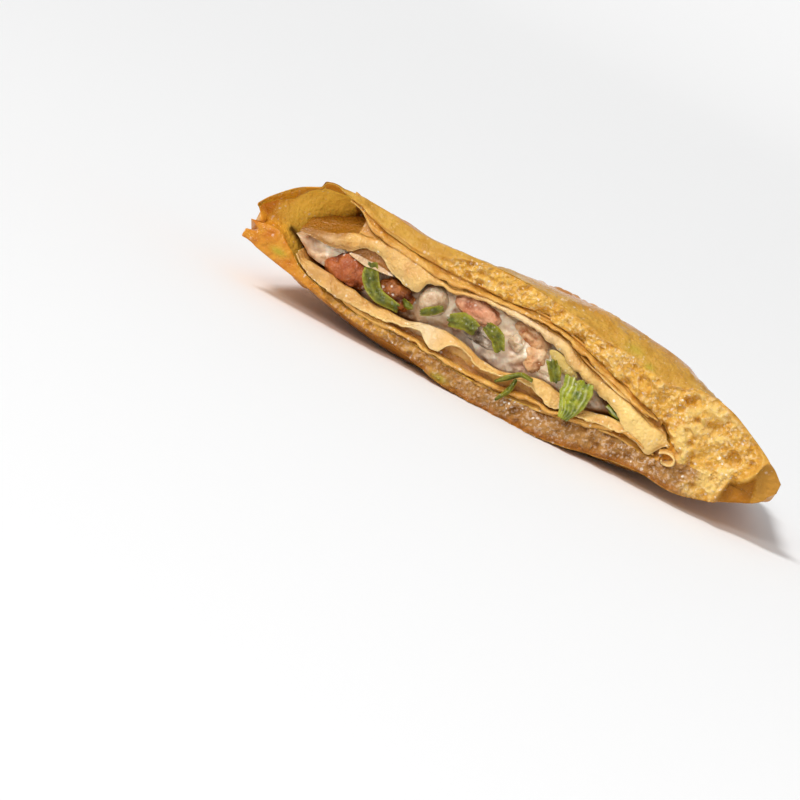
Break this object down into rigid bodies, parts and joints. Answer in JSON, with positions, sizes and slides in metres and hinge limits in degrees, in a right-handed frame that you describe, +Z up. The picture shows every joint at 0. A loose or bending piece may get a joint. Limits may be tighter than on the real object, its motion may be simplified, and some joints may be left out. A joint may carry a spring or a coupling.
{
  "type": "fried bean curd roll",
  "caption": "Half of a flat fried bean curd skin parcel, cut lengthwise: crisp layered wrapper round thin inner sheets and a filling of minced meat, shrimp paste and chives.",
  "frame": {"origin": "centre of the bounding box at the height of the table the roll rests on", "axes": "+X along the roll towards its crusty end, -Y out of the cut face, +Z up"},
  "size_m": [0.1064, 0.0501, 0.0247],
  "materials": {
    "fried_skin": "fried golden skin, oily, blistered",
    "inner_sheet": "soft translucent cream sheet, moist",
    "paste": "cooked minced paste, moist",
    "pork": "cooked meat, moist",
    "fat": "translucent cooked fat",
    "mushroom": "grey speckled, moist",
    "shrimp": "cooked shrimp paste, moist",
    "chive": "cooked leaf, oily"
  },
  "bodies": {
    "root": {"wrapper": "fried_skin", "sheet_upper_outer": "inner_sheet", "sheet_upper_inner": "inner_sheet", "sheet_lower_inner": "inner_sheet", "sheet_lower_outer": "inner_sheet", "filling": "paste", "pork_left": "pork", "pork_brown": "pork", "pork_middle": "pork", "fat_pearl": "fat", "fat_white": "fat", "mushroom": "mushroom", "shrimp_top": "shrimp", "shrimp_side": "shrimp", "chive_hook": "chive", "chive_dark": "chive", "chive_folded": "chive", "chive_upright": "chive", "chive_tip": "chive", "chive_strand": "chive", "chive_thread": "chive", "leaf_large": "chive"}
  },
  "joints": []
}
